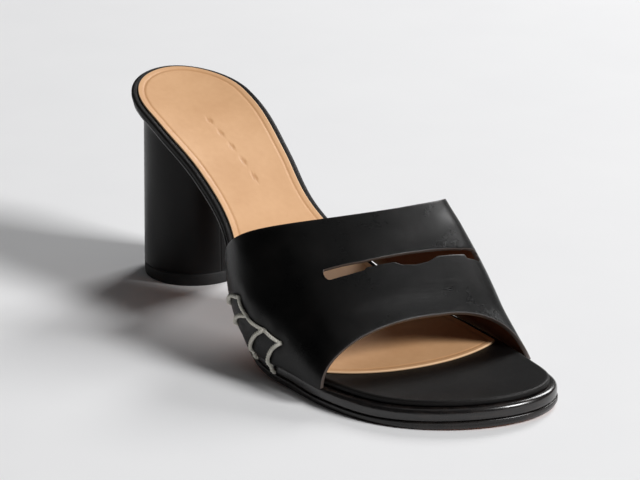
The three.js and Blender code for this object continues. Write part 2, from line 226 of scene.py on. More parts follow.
def quarter(radius, depth, steps=6):
    """A rounded shoulder: pairs of (inward, down), from the flat to the wall."""
    turn = np.linspace(0, np.pi / 2, steps + 1)
    return list(zip(radius * (1 - np.sin(turn)), depth * (1 - np.cos(turn))))


# %% [markdown]
# ## Turning rings into a closed skin
# A stack of rings with the same number of points is joined by four-sided faces. The first
# and last ring lie on the middle line, where points fall together: merging them closes the
# skin without a seam. A `rim` value per point tells the materials how near an edge it is.

# %% Mesh helpers
def make_mesh(name, points, faces, values=None):
    """A smooth mesh object with merged doubles and per-point values."""
    mesh = bpy.data.meshes.new(name)
    mesh.from_pydata(place(points).tolist(), [], faces)
    for key, numbers in (values or {}).items():
        mesh.attributes.new(key, "FLOAT", "POINT").data.foreach_set(
            "value", np.asarray(numbers, np.float32))
    shape = bmesh.new()
    shape.from_mesh(mesh)
    bmesh.ops.remove_doubles(shape, verts=shape.verts, dist=2e-6)
    bmesh.ops.dissolve_degenerate(shape, dist=1e-7, edges=shape.edges)
    shape.to_mesh(mesh)
    shape.free()
    mesh.shade_smooth()
    return show(name, mesh)


def skin(name, rings, values=None):
    """Closes a stack of rings. values holds one number per ring for each key."""
    count = len(rings[0])
    here = np.arange(count)
    after = np.roll(here, -1)
    faces = []
    for k in range(len(rings) - 1):
        low, high = k * count, (k + 1) * count
        faces.append(np.column_stack([low + here, low + after, high + after, high + here]))
    spread = {key: np.concatenate([np.broadcast_to(v, count) for v in numbers])
              for key, numbers in (values or {}).items()}
    made = make_mesh(name, np.concatenate(rings), np.concatenate(faces).tolist(), spread)
    shape = bmesh.new()
    shape.from_mesh(made.data)
    bmesh.ops.recalc_face_normals(shape, faces=shape.faces)
    loose = sum(1 for e in shape.edges if not e.is_manifold)
    volume = shape.calc_volume()
    shape.to_mesh(made.data)
    shape.free()
    print(f"{name}: {len(made.data.polygons)} faces, {volume * 1e6:.1f} cm3, {loose} loose")
    return made


def finish_piece(piece, finish, node):
    """Gives a piece its finish and ties it to the frame."""
    for material in finish if isinstance(finish, tuple) else (finish,):
        piece.data.materials.append(material)
    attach(piece, "root")
    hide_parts(node)


# %% [markdown]
# ## Writing shaders as sums
# A finish is a small sum of patterns, so it reads best as one. `Link` wraps a socket and
# turns + - * / into Math nodes; `Finish.node` makes any other node from its type, its
# settings and what goes into its sockets.

# %% Shader helpers
class Link:
    """A shader socket that can be used in sums."""

    def __init__(self, finish, socket):
        self.finish, self.socket = finish, socket

    def maths(self, operation, *terms, clamp=False):
        settings = {"operation": operation, "use_clamp": clamp}
        return self.finish.node("ShaderNodeMath", settings, dict(enumerate(terms)))

    def __add__(self, other):
        return self.maths("ADD", self, other)

    def __sub__(self, other):
        return self.maths("SUBTRACT", self, other)

    def __rsub__(self, other):
        return self.maths("SUBTRACT", other, self)

    def __mul__(self, other):
        return self.maths("MULTIPLY", self, other)

    __radd__, __rmul__ = __add__, __mul__

    def between(self, low, high):
        """0 below low, 1 above high, and smooth in between."""
        return self.finish.node("ShaderNodeMapRange", {"interpolation_type": "SMOOTHSTEP"}, {
            "Value": self, "From Min": low, "From Max": high})


class Finish:
    """A material's node tree."""

    def __init__(self, name):
        self.material = bpy.data.materials.new(name)
        self.material.use_nodes = True
        self.tree = self.material.node_tree
        self.tree.nodes.clear()
        self.here = self.node("ShaderNodeTexCoord", {}, {}, "Object")

    def node(self, kind, settings=None, inputs=None, output=0):
        """Any node: its type, its settings, then what its sockets get."""
        made = self.tree.nodes.new(kind)
        for key, value in (settings or {}).items():
            setattr(made, key, value)
        for key, value in (inputs or {}).items():
            if isinstance(value, Link):
                self.tree.links.new(value.socket, made.inputs[key])
            else:
                made.inputs[key].default_value = value
        return Link(self, made.outputs[output]) if len(made.outputs) else made

    def noise(self, size_mm, detail=3.0, roughness=0.55, squeeze=None):
        vector = self.here
        if squeeze:
            vector = self.node("ShaderNodeVectorMath", {"operation": "MULTIPLY"}, {
                0: self.here, 1: squeeze})
        return self.node("ShaderNodeTexNoise", {}, {
            "Vector": vector, "Scale": 1 / (size_mm * MM), "Detail": detail,
            "Roughness": roughness})

    def cells(self, size_mm, feature="DISTANCE_TO_EDGE", vector=None):
        return self.node("ShaderNodeTexVoronoi", {"feature": feature}, {
            "Vector": vector or self.here, "Scale": 1 / (size_mm * MM)})

    def value(self, name):
        """A number stored on the mesh's points."""
        return self.node("ShaderNodeAttribute", {"attribute_name": name}, {}, "Fac")

    def mix(self, first, second, share):
        """A colour between two others."""
        return self.node("ShaderNodeMix", {"data_type": "RGBA"}, {
            0: share, 6: first, 7: second}, 2)

    def bump(self, height, depth_mm, normal=None):
        inputs = {"Height": height, "Distance": depth_mm * MM, "Strength": 1.0}
        if normal is not None:
            inputs["Normal"] = normal
        return self.node("ShaderNodeBump", {}, inputs)

    def surface(self, inputs):
        skin_of = self.node("ShaderNodeBsdfPrincipled", {}, inputs)
        self.node("ShaderNodeOutputMaterial", {}, {"Surface": skin_of})
        return self.material


def paint(red, green, blue):
    """A colour as a painter's 0 to 255 values."""
    share = np.array([red, green, blue]) / 255
    linear = np.where(share <= 0.04045, share / 12.92, ((share + 0.055) / 1.055) ** 2.4)
    return (*linear.tolist(), 1.0)


# %% [markdown]
# ## Black calf leather
# Smooth calf is dyed, waxed and lightly polished. Close up it has a net of tiny cells with
# finer pores between, a slightly uneven polish, and edges that are rubbed a little lighter.
# Cells come from Voronoi distance-to-edge, warped by noise so that no cell looks drawn.

# %% Black leather
def black_leather(name, dye, rubbed, polish, grain_mm=0.55, grain_depth=0.022, coat=0.1):
    finish = Finish(name)
    wander = finish.node("ShaderNodeTexNoise", {}, {
        "Vector": finish.here, "Scale": 1 / (1.4 * MM), "Detail": 2.0}, "Color")
    bent = finish.node("ShaderNodeVectorMath", {"operation": "MULTIPLY_ADD"}, {
        0: wander, 1: (0.0005,) * 3, 2: finish.here})
    grain = finish.cells(grain_mm, vector=bent).between(0.0, 0.16)
    pores = finish.noise(0.16, 2.0)
    cloud = finish.noise(16.0, 3.0)
    mottle = finish.noise(3.0, 4.0)
    rim = finish.value("rim")
    worn = rim.maths("MULTIPLY", rim, mottle + 0.25, clamp=True)
    shade = finish.mix(dye, rubbed, (cloud.between(0.35, 0.75)) * 0.25 + worn * 0.75)
    gloss = polish + (cloud - 0.5) * 0.12 + (1 - grain) * 0.1 + (mottle - 0.5) * 0.06
    relief = grain * 0.7 + pores * 0.3
    return finish.surface({
        "Base Color": shade, "Roughness": gloss, "Specular IOR Level": 0.2,
        "Coat Weight": coat, "Coat Roughness": 0.24,
        "Normal": finish.bump(relief, grain_depth, finish.bump(cloud, 0.12)),
    })


upper_leather = black_leather("upper_leather", paint(2, 2, 2), paint(28, 25, 24), 0.29)
footbed_leather = black_leather(
    "footbed_leather", paint(4, 3, 3), paint(26, 23, 22), 0.46, 0.5, 0.03, 0.0)
heel_leather = black_leather(
    "heel_leather", paint(4, 3, 3), paint(26, 23, 22), 0.33, 0.5, 0.014, 0.04)
print("black leathers made")

# %% [markdown]
# ## Sock, lining and edges
# The sock is pale calf, dyed only through: it keeps a cloudy tan with a faint grain, and
# darkens a little where it is stamped or rolled. The lining is the same skin, browner. The
# cut edges of the band are inked dark brown.

# %% Tan leathers
def tan_leather(name, pale, deep, polish, grain_depth=0.012):
    finish = Finish(name)
    cloud = finish.noise(22.0, 3.0)
    mottle = finish.noise(2.2, 4.0)
    fibre = finish.noise(0.22, 2.0)
    grain = finish.cells(0.6).between(0.0, 0.2)
    pressed = finish.value("pressed")
    rim = finish.value("rim")
    shade = finish.mix(pale, deep, (
        cloud.between(0.3, 0.8) * 0.35 + (mottle - 0.5) * 0.3 + pressed * 0.55))
    lit = finish.mix(shade, paint(242, 214, 178), rim * 0.55)
    relief = grain * 0.5 + fibre * 0.5
    return finish.surface({
        "Base Color": lit,
        "Roughness": polish + (mottle - 0.5) * 0.1 - pressed * 0.12,
        "Specular IOR Level": 0.35,
        "Normal": finish.bump(relief, grain_depth, finish.bump(cloud, 0.15)),
    })


sock_leather = tan_leather("sock_leather", paint(209, 164, 121), paint(182, 133, 88), 0.52)
lining_leather = tan_leather("lining_leather", paint(112, 72, 50), paint(84, 50, 34), 0.6)


def inked_edge(name, ink, polish):
    finish = Finish(name)
    streak = finish.noise(0.8, 4.0)
    layer = finish.noise(5.0, 2.0)
    shade = finish.mix(ink, paint(78, 56, 46), streak.between(0.45, 0.85) * 0.6)
    return finish.surface({
        "Base Color": shade, "Roughness": polish + (layer - 0.5) * 0.15,
        "Specular IOR Level": 0.5, "Normal": finish.bump(streak, 0.04),
    })


cut_edge = inked_edge("cut_edge", paint(74, 66, 62), 0.4)

# %% [markdown]
# ## Sole edges, natural outsole, rubber and thread
# Sole edges are inked black and burnished with hot wax, so they shine more than the skin
# above. The outsole's tread is left natural and is seen only from below and as a thin
# brown line at the floor. `ink` on its points says where the black stops.

# %% Sole and trim materials
def burnished_edge(name, polish):
    finish = Finish(name)
    cloud = finish.noise(9.0, 3.0)
    streak = finish.noise(5.0, 3.0, 0.5, (1.0, 1.0, 9.0))
    shade = finish.mix(paint(15, 13, 13), paint(40, 33, 30), streak.between(0.4, 0.8))
    return finish.surface({
        "Base Color": shade, "Roughness": polish + (cloud - 0.5) * 0.12,
        "Specular IOR Level": 0.5, "Coat Weight": 0.35, "Coat Roughness": 0.15,
        "Normal": finish.bump(streak, 0.05),
    })


sole_edge = burnished_edge("sole_edge", 0.26)


def outsole_leather_finish():
    finish = Finish("outsole_leather")
    ink = finish.value("ink")
    cloud = finish.noise(18.0, 4.0)
    scuff = finish.noise(3.0, 5.0, 0.65, (0.25, 1.6, 1.0))
    fibre = finish.noise(0.3, 3.0)
    natural = finish.mix(paint(172, 112, 78), paint(134, 80, 54),
                         cloud.between(0.3, 0.75) * 0.6 + scuff.between(0.5, 0.8) * 0.3)
    lip = finish.mix(natural, paint(96, 44, 32), ink.between(0.02, 0.3))
    edge = finish.mix(paint(16, 14, 14), paint(42, 35, 32), cloud.between(0.4, 0.8))
    return finish.surface({
        "Base Color": finish.mix(lip, edge, ink.between(0.35, 0.65)),
        "Roughness": 0.46 - ink * 0.18 + (scuff - 0.5) * 0.14,
        "Specular IOR Level": 0.45,
        "Normal": finish.bump(fibre * 0.4 + scuff * 0.6, 0.05),
    })


outsole_leather = outsole_leather_finish()


def rubber():
    finish = Finish("top_piece_rubber")
    speck = finish.noise(0.25, 2.0)
    cloud = finish.noise(6.0, 3.0)
    pebble = finish.cells(1.3, "F1").between(0.1, 0.55)
    shade = finish.mix(paint(17, 17, 18), paint(40, 39, 39), cloud.between(0.4, 0.8) * 0.5)
    return finish.surface({
        "Base Color": shade, "Roughness": 0.62 + (speck - 0.5) * 0.2,
        "Specular IOR Level": 0.4,
        "Normal": finish.bump(pebble * finish.value("tread") + speck * 0.15, 0.22),
    })


top_piece_rubber = rubber()


def waxed_thread():
    finish = Finish("waxed_thread")
    fluff = finish.noise(0.35, 3.0)
    cloud = finish.noise(4.0, 2.0)
    shade = finish.mix(paint(246, 243, 232), paint(206, 199, 178),
                       fluff.between(0.35, 0.8) * 0.6 + cloud.between(0.5, 0.8) * 0.3)
    return finish.surface({
        "Base Color": shade, "Roughness": 0.62 + (fluff - 0.5) * 0.2,
        "Specular IOR Level": 0.35, "Normal": finish.bump(fluff, 0.08),
    })


thread_finish = waxed_thread()
print("materials:", len(bpy.data.materials))

# %% [markdown]
# ## Footbed
# A board cut to the last's outline, softly padded and wrapped in black leather. It shows as
# a thin rim round the sock and as a black bed in front of it. Rings follow the outline, and
# a quarter-round shoulder makes the wrapped edge that catches the light.

# %% Footbed
FOOTBED_THICKNESS = 2.4
CLEARANCE = 0.3


def footbed_top(x, share):
    return foot["top"](x) - foot["dish"](x) * (1 - share ** 3)


def footbed_under(x, share=1.0):
    return foot["top"](x) - FOOTBED_THICKNESS


def lowered(height, down):
    return lambda x, share: height(x, share) - down


def raised(height, up):
    return lowered(height, -up)


WRAP = quarter(1.3, 0.95, 8)
rings = [inner_ring(share, footbed_top) for share in np.linspace(0, 0.92, 26)]
rims = [0.0] * len(rings)
for inward, down in WRAP:
    rings.append(edge_ring(-inward, lowered(footbed_top, down)))
    rims.append(0.25 + 0.6 * down)
for up in (0.95, 0.6):
    rings.append(edge_ring(0, raised(footbed_under, up)))
    rims.append(0.3)
for inward, up in quarter(0.6, 0.6, 4)[::-1]:
    rings.append(edge_ring(-inward, raised(footbed_under, up)))
    rims.append(0.1)
for share in (0.9, 0.5, 0.0):
    rings.append(inner_ring(share, footbed_under))
    rims.append(0.0)
footbed = skin("footbed_wrapped", rings, {"rim": rims})
finish_piece(footbed, footbed_leather, "footbed")

# %% [markdown]
# ## Sock
# A thin tan leather glued on the footbed. It stops at a shallow arc under the toe opening,
# has a pressed line just inside its edge, and five small lozenges stamped into the seat.
# It is one fan of rays from the middle line to its own outline, so every line on it can be
# pressed into real geometry.

# %% Sock outline
SOCK_INSET = 2.6
SOCK_LIFT = 0.85            # its top above the footbed
SOCK_ARC_X, SOCK_ARC_Y, SOCK_ARC_RADIUS = 101.4, 10.0, 82.0
FAN_FRONT = 150.0
PRESSED_LINE_IN, PRESSED_LINE_HALF, PRESSED_DEPTH = 2.6, 0.55, 0.16
LOZENGES = tuple((x, -3.4) for x in (43.5, 51.5, 59.5, 67.5, 75.5))
LOZENGE_HALF_LENGTH, LOZENGE_HALF_WIDTH, STAMP_DEPTH = 2.5, 1.5, 0.16


def fan_edge(points_x, points_y, centre):
    """Edge radius by angle round a centre, for the rounded ends of the outline."""
    angle = np.arctan2(points_y - centre[1], points_x - centre[0])
    order = np.argsort(angle)
    return angle[order], np.hypot(points_x - centre[0], points_y - centre[1])[order]


def share_at(x, y):
    """How far a point lies from the middle line (0) to the footbed edge (1)."""
    mid_x, mid_y = spine(x)
    half = np.where(y < mid_y, mid_y - edge_y(mid_x, "lateral"),
                    edge_y(mid_x, "medial") - mid_y)
    share = np.abs(y - mid_y) / half
    for beyond, end in ((x > SPINE_FRONT, SPINE_FRONT), (x < SPINE_BACK, SPINE_BACK)):
        centre = tuple(float(v) for v in spine(np.array(end)))
        part = LOOP_X >= end if end == SPINE_FRONT else LOOP_X <= end
        flip = 1.0 if end == SPINE_FRONT else -1.0
        angle, radius = fan_edge(flip * LOOP_X[part], LOOP_Y[part],
                                 (flip * centre[0], centre[1]))
        turned = np.arctan2(y - centre[1], flip * (x - centre[0]))
        fan_share = np.hypot(x - centre[0], y - centre[1]) / np.interp(turned, angle, radius)
        share = np.where(beyond, fan_share, share)
    return np.clip(share, 0, 1)


sock_x = LOOP_X - OUT_X * SOCK_INSET
sock_y = LOOP_Y - OUT_Y * SOCK_INSET
fan_x, fan_y = spine(np.minimum(np.clip(sock_x, SPINE_BACK, None), FAN_FRONT))
ray_x, ray_y = sock_x - fan_x, sock_y - fan_y
reach_x, reach_y = fan_x - SOCK_ARC_X, fan_y - SOCK_ARC_Y
square = ray_x ** 2 + ray_y ** 2
cross = reach_x * ray_x + reach_y * ray_y
beyond_arc = reach_x ** 2 + reach_y ** 2 - SOCK_ARC_RADIUS ** 2
meets = (np.sqrt(np.maximum(cross ** 2 - square * beyond_arc, 0)) - cross) / square
cut_short = np.where(sock_x > SOCK_ARC_X, np.clip(meets, 0, 1), 1.0)
sock_x, sock_y = fan_x + ray_x * cut_short, fan_y + ray_y * cut_short
sock_reach = np.hypot(sock_x - fan_x, sock_y - fan_y)
print("sock front at", round(float(sock_x.max()), 1), "mm")

# %% Sock mesh
def sock_point(inward, lift, under=False):
    """The sock's ring `inward` mm from its edge: its top, or its underside."""
    share = np.clip(1 - inward / sock_reach, 0, 1)
    x, y = fan_x + (sock_x - fan_x) * share, fan_y + (sock_y - fan_y) * share
    z = footbed_top(x, share_at(x, y)) + (0.06 if under else SOCK_LIFT)
    pressed = np.zeros_like(x)
    if not under:
        line = np.exp(-((inward - PRESSED_LINE_IN) / PRESSED_LINE_HALF) ** 2)
        pressed = pressed + PRESSED_DEPTH * line
        for lozenge_x, lozenge_y in LOZENGES:
            far = (np.abs(x - lozenge_x) / LOZENGE_HALF_LENGTH
                   + np.abs(y - lozenge_y) / LOZENGE_HALF_WIDTH)
            pressed = np.maximum(pressed, STAMP_DEPTH * np.clip((1 - far) * 4, 0, 1))
    return np.column_stack([x, y, z + lift - pressed]), pressed / STAMP_DEPTH


RIM_ZONE = 5.0            # mm inside the edge where the rings lie close together
rings, rims, pressed = [], [], []


def add_ring(inward, rim, lift=0.0, under=False):
    """One more ring of the sock, `inward` mm from its edge."""
    ring, mark = sock_point(np.full_like(sock_reach, inward), lift, under)
    rings.append(ring)
    rims.append(rim)
    pressed.append(mark)


for share in np.linspace(0, 1, 58)[:-1]:
    add_ring(RIM_ZONE + (sock_reach - RIM_ZONE) * (1 - share), 0.0)
for inward in np.arange(RIM_ZONE, 0.45, -0.25):
    add_ring(inward, 0.0)
for inward, down in quarter(0.4, 0.4, 4):
    add_ring(inward, 0.4 + down, -down)
for inward in (0.0, RIM_ZONE, 20.0, sock_reach):
    add_ring(inward, 0.5, under=True)
sock = skin("sock", rings, {"rim": rims, "pressed": pressed})
finish_piece(sock, sock_leather, "sock")

# %% [markdown]
# ## Midsole
# A layer under the forefoot that is skived away to nothing at the waist. It stands out
# round the footbed as a narrow ledge, with a rounded, burnished edge that shines.

# %% Midsole
MIDSOLE_SETBACK, MIDSOLE_BACK = 0.3, 106.0


def layer_top(x, share=1.0):
    return foot["top"](x) - FOOTBED_THICKNESS - CLEARANCE


def outsole_top(x, share=1.0):
    return layer_top(x) - np.maximum(foot["drop"](x), 0)


def layer_under(x, share=1.0):
    return np.minimum(outsole_top(x) + 0.05, layer_top(x) - 0.12)


def layer_at(part):
    """A height at that part of the layer's thickness, from its top."""
    return lambda x, share: layer_top(x) + (layer_under(x) - layer_top(x)) * part


def midsole_out(inward):
    """Its edge, just inside the outsole's and drawn in where the layer runs out."""
    return lambda x: (foot["outset"](x) - MIDSOLE_SETBACK - inward
                      - 3.0 * np.clip((MIDSOLE_BACK + 8 - x) / 8, 0, 1))


rings = [inner_ring(share, raised(layer_top, 0.25)) for share in (0, 0.4, 0.7)]
profile = [(3.6, -0.05), (1.5, -0.03), (1.15, 0.0), (0.8, 0.035), (0.5, 0.09), (0.25, 0.18),
           (0.08, 0.3), (0.0, 0.45), (0.0, 0.72), (0.04, 0.86), (0.16, 0.94), (0.5, 1.0)]
rings += [edge_ring(midsole_out(inward), layer_at(part)) for inward, part in profile]
rings += [inner_ring(share, layer_under) for share in (0.7, 0.4, 0)]
midsole = skin("midsole_edge", rings)
finish_piece(midsole, sole_edge, "midsole")

# %% [markdown]
# ## Outsole
# Firm sole leather from heel to toe. Its edge is inked and its tread is natural, with a
# closed channel a few millimetres inside the edge that hides the sole stitching.

# %% Outsole
def outsole_under(x, share=1.0):
    return np.maximum(outsole_top(x) - foot["outsole"](x), 0)


WAIST_END = 115.0         # behind it the ink covers the whole edge


def outsole_side(part, inward=0.0):
    """A ring on the outsole's edge, at that part of its thickness from the top."""
    def out(x):
        return foot["outset"](x) - inward - foot["tuck"](x) * max(part - 0.5, 0) * 2

    def height(x, share):
        return outsole_top(x) + (outsole_under(x) - outsole_top(x)) * part

    return edge_ring(out, height)


rings = [inner_ring(share, outsole_top) for share in (0, 0.5, 0.85)]
inks = [1.0] * 3
for inward, down in quarter(0.5, 0.14, 4):
    rings.append(outsole_side(down, inward))
    inks.append(1.0)
for part in (0.3, 0.5, 0.66, 0.8, 0.88):
    rings.append(outsole_side(part))
    inks.append(1.0)
for part, inward, ink in ((0.93, 0.0, 0.45), (0.97, 0.12, 0.25), (1.0, 0.45, 0.1)):
    rings.append(outsole_side(part, inward))
    inks.append(np.where(LOOP_X > WAIST_END, ink, 1.0))
CHANNEL_IN, CHANNEL_DEPTH = 4.5, 0.3
for inward in (0.9, 2.0, 3.2, 3.9, 4.2, 4.5, 4.8, 5.1, 5.8, 7.5, 10.0):
    sunk = CHANNEL_DEPTH * math.exp(-((inward - CHANNEL_IN) / 0.3) ** 2)
    rings.append(edge_ring(
        lambda x, inward=inward: foot["outset"](x) - foot["tuck"](x) - inward,
        raised(outsole_under, sunk)))
    inks.append(0.0)
rings += [inner_ring(share, outsole_under) for share in np.linspace(0.38, 0, 8)]
inks += [0.0] * 8
outsole = skin("outsole", rings, {"ink": inks})
finish_piece(outsole, outsole_leather, "outsole")

# %% [markdown]
# ## Heel
# A round block, covered in the band's leather, that opens in a soft flare to meet the heel
# seat. The cover is pulled round from the back and butts in one seam down the front, under
# the arch, which is a narrow groove here. Rings round the axis follow the outsole above.

# %% Heel
HEEL_X, HEEL_RADIUS, HEEL_TOP_RADIUS, HEEL_FLARE_DEPTH = 26.1, 19.9, 19.3, 7.0
SEAT_BACK, SEAT_SIDE, SEAT_FRONT = 22.8, 23.2, 20.0
TOP_PIECE_HEIGHT = 5.0
SEAM_DEPTH, SEAM_HALF = 0.14, 0.22

around_heel = np.unique(np.concatenate([
    np.linspace(0, 2 * np.pi, 129)[:-1],
    np.linspace(0, 0.06, 8), 2 * np.pi - np.linspace(0.006, 0.06, 8)]))


def heel_ring(radius, height, seam=0.0):
    r = radius(around_heel) if callable(radius) else np.full_like(around_heel, radius)
    gap = np.minimum(around_heel, 2 * np.pi - around_heel) * np.maximum(r, 1e-6)
    r = np.maximum(r - seam * np.exp(-(gap / SEAM_HALF) ** 2), 0)
    x = HEEL_X + r * np.cos(around_heel)
    z = height(x) if callable(height) else np.full_like(x, height)
    return np.column_stack([x, HEEL_Y + r * np.sin(around_heel), z])


def seat_radius(angle):
    """The flared top: an oval that is longer to the back than to the front."""
    along = np.where(np.cos(angle) < 0, SEAT_BACK, SEAT_FRONT)
    return 1 / np.hypot(np.cos(angle) / along, np.sin(angle) / SEAT_SIDE)


def heel_seat(x):
    return outsole_under(np.maximum(x, 0)) - 0.04


def flare(share):
    return lambda angle: HEEL_TOP_RADIUS + (seat_radius(angle) - HEEL_TOP_RADIUS) * share


heel_foot = TOP_PIECE_HEIGHT + 0.05
rings, rims = [heel_ring(0, heel_foot)], [0.0]
for inward, up in quarter(0.22, 0.22, 4):
    rings.append(heel_ring(HEEL_RADIUS - inward, heel_foot + up, SEAM_DEPTH))
    rims.append(0.1)
for part in np.linspace(0.03, 1, 26):
    radius = HEEL_RADIUS + (HEEL_TOP_RADIUS - HEEL_RADIUS) * part
    rings.append(heel_ring(
        radius, lambda x, part=part: (1 - part) * (heel_foot + 0.22) + part * (
            heel_seat(x) - HEEL_FLARE_DEPTH - 0.5), SEAM_DEPTH))
    rims.append(0.1 * (part < 0.1))
for turn in np.linspace(0, np.pi / 2, 15)[1:]:
    share = 1 - math.cos(turn)
    rings.append(heel_ring(flare(share), lambda x, turn=turn: heel_seat(x) - 0.5
                           - HEEL_FLARE_DEPTH * (1 - math.sin(turn)), SEAM_DEPTH))
    rims.append(0.25 * share)
rings.append(heel_ring(flare(0.97), heel_seat))
rings += [heel_ring(HEEL_TOP_RADIUS * share, heel_seat) for share in (0.8, 0.4, 0)]
rims += [0.0] * 4
heel = skin("heel_cover", rings, {"rim": rims})
finish_piece(heel, heel_leather, "heel")

# %% [markdown]
# ## Top piece
# The rubber lift that meets the floor. It is as wide as the heel above, so the joint hardly
# shows, and has a softened lower edge and a pebbled tread.

# %% Top piece
rings = [heel_ring(r, 0.0) for r in (0, 6, 12, 16, 18)]
treads = [1.0] * 4 + [0.6]
for inward, up in quarter(0.7, 0.7, 5):
    rings.append(heel_ring(HEEL_RADIUS - 0.03 - inward, up))
    treads.append(0.0)
for height in (1.6, 3.2, 4.7):
    rings.append(heel_ring(HEEL_RADIUS - 0.03, height))
    treads.append(0.0)
for inward, height in ((0.2, TOP_PIECE_HEIGHT), (3.0, TOP_PIECE_HEIGHT)):
    rings.append(heel_ring(HEEL_RADIUS - inward, height))
    treads.append(0.0)
rings.append(heel_ring(0, TOP_PIECE_HEIGHT))
treads.append(0.0)
top_piece = skin("heel_top_piece_rubber", rings, {"tread": treads})
finish_piece(top_piece, top_piece_rubber, "heel_top_piece")

# %% [markdown]
# ## The band
# One piece of calf with its lining, pulled over the last and set on the sole's ledge at both
# sides. Its cross sections are a second table. `along` runs from the top line (0) to the
# toe line (1), and `around` from the outer base (0) over the crown to the inner base (1).

# %% Band sections
BAND = np.array([
    (0.45, 64.4, 29.3, 2.4, 3.0),
    (0.54, 57.2, 23.6, 4.4, 4.8),
    (0.625, 46.4, 18.5, 4.4, 5.2),
    (0.72, 31.1, 13.2, 3.8, 5.2),
    (0.80, 15.0, 8.6, 3.2, 4.6),
    (0.87, 3.0, 5.0, 2.8, 4.0),
], dtype=[(name, float) for name in ("at", "height", "crown", "outset", "swell")])
band = {name: column(BAND, name) for name in BAND.dtype.names[1:]}
TOP_LINE = (101.0, 109.1, 39.5, 1.0)     # outer base, inner base, reach at the crown, power
TOE_LINE = (177.5, 196.0, -6.2, 1.37)
SIDE_ROUND = {"lateral": (0.90, 0.85, 1.0), "medial": (0.76, 0.76, 0.46)}
UPPER_WALL = 1.6
BAND_GAP = 0.12           # between the band and the midsole that it stands on


def line_at(line, around):
    outer, inner, reach, power = line
    bow = np.sin(np.pi * np.clip(around, 0, 1)) ** power
    return outer + (inner - outer) * around + reach * bow


def band_point(along, around):
    """The band's outer face before any crease, rooted on the outsole, from the midsole up."""
    x = line_at(TOP_LINE, around) * (1 - along) + line_at(TOE_LINE, around) * along
    roundness, power, swell = (
        np.where(around < 0.5, outer, inner)
        for outer, inner in zip(SIDE_ROUND["lateral"], SIDE_ROUND["medial"]))
    root = outsole_top(x) + CLEARANCE
    rise = foot["top"](x) + band["height"](x) - root
    base = layer_top(x) + BAND_GAP
    start = np.arcsin((np.maximum(base - root, 0) / rise) ** (1 / power)) / np.pi
    nearer = np.clip(np.minimum(around, 1 - around), 0, 0.5)
    turn = np.pi * (start + (1 - 2 * start) * nearer)
    across, up = np.sign(0.5 - around) * np.cos(turn), np.sin(turn)
    outer = edge_y(x, "lateral") - band["outset"](x)
    inner = edge_y(x, "medial") + band["outset"](x)
    y = (outer + inner) / 2 + band["crown"](x) * up ** 2 - np.sign(across) * (
        (inner - outer) / 2 * np.abs(across) ** roundness
        + swell * band["swell"](x) * 2 * up * np.abs(across))
    z = root + rise * up ** power
    return np.stack([x, y, z], axis=-1)


def band_normal(along, around, step=0.012):
    near = np.clip(around, step, 1 - step)
    forward = band_point(along + step, near) - band_point(along - step, near)
    sideways = band_point(along, near + step) - band_point(along, near - step)
    normal = np.cross(forward, sideways)
    return normal / np.linalg.norm(normal, axis=-1, keepdims=True)


# %% [markdown]
# ## Creases, puckers and the slot
# Leather over a last is never quite even. Each soft fold is listed: where it lies on
# the band, which way it runs, how long and wide it is, and how far it stands up or sinks.
# The slot has a wider terminal at each end and a half moon in the middle of its front lip.

# %% Folds, listed one by one
FOLDS = np.array([
    (0.30, 0.13, 62, 0.20, 0.030, -0.30),
    (0.52, 0.12, 70, 0.16, 0.026, 0.22),
    (0.72, 0.16, 80, 0.20, 0.030, -0.26),
    (0.86, 0.30, 15, 0.16, 0.030, -0.22),
    (0.78, 0.50, 4, 0.24, 0.040, 0.20),
    (0.66, 0.42, -12, 0.12, 0.030, -0.18),
    (0.20, 0.40, 6, 0.26, 0.045, -0.20),
    (0.22, 0.64, -8, 0.20, 0.040, 0.18),
    (0.50, 0.80, 68, 0.18, 0.030, -0.32),
    (0.66, 0.86, 74, 0.16, 0.028, 0.24),
    (0.30, 0.84, 60, 0.14, 0.026, -0.24),
    (0.84, 0.74, -20, 0.16, 0.034, -0.22),
], dtype=[(name, float) for name in (
    "along", "around", "turn", "length", "width", "lift")])


def fold_lift(along, around):
    lift = np.zeros_like(along + around)
    for fold in FOLDS:
        turn = math.radians(fold["turn"])
        u, v = around - fold["around"], (along - fold["along"]) * 0.45
        length = u * math.cos(turn) + v * math.sin(turn)
        width = v * math.cos(turn) - u * math.sin(turn)
        lift = lift + fold["lift"] * np.exp(
            -(length / fold["length"] * 1.6) ** 2 - (width / fold["width"]) ** 2)
    return lift


# %% Stitch places on the band
STITCHES = {
    "lateral": {
        "tops": ((0.26, 0.054), (0.364, 0.050), (0.511, 0.065), (0.647, 0.063)),
        "feet": (116.0, 124.0, 136.7, 147.6),
    },
    "medial": {
        "tops": ((0.24, 0.942), (0.36, 0.948), (0.49, 0.937), (0.62, 0.936)),
        "feet": (124.0, 133.0, 143.5, 155.0),
    },
}
PUCKER_DEPTH, PUCKER_SIZE = 0.45, 3.2


def pucker_sink(points):
    """How far the band is drawn in round each needle hole."""
    sink = np.zeros(points.shape[:-1])
    for side in STITCHES.values():
        for along, around in side["tops"]:
            hole = band_point(np.array(along), np.array(around))
            away = np.linalg.norm(points - hole, axis=-1)
            sink += PUCKER_DEPTH * np.exp(-(away / PUCKER_SIZE) ** 2)
    return sink


def band_skin(along, around, out=0.0):
    """The band's finished outer face, `out` mm off it."""
    points = band_point(along, around)
    lift = fold_lift(along, around) - pucker_sink(points) + out
    return points + band_normal(along, around) * lift[..., None]


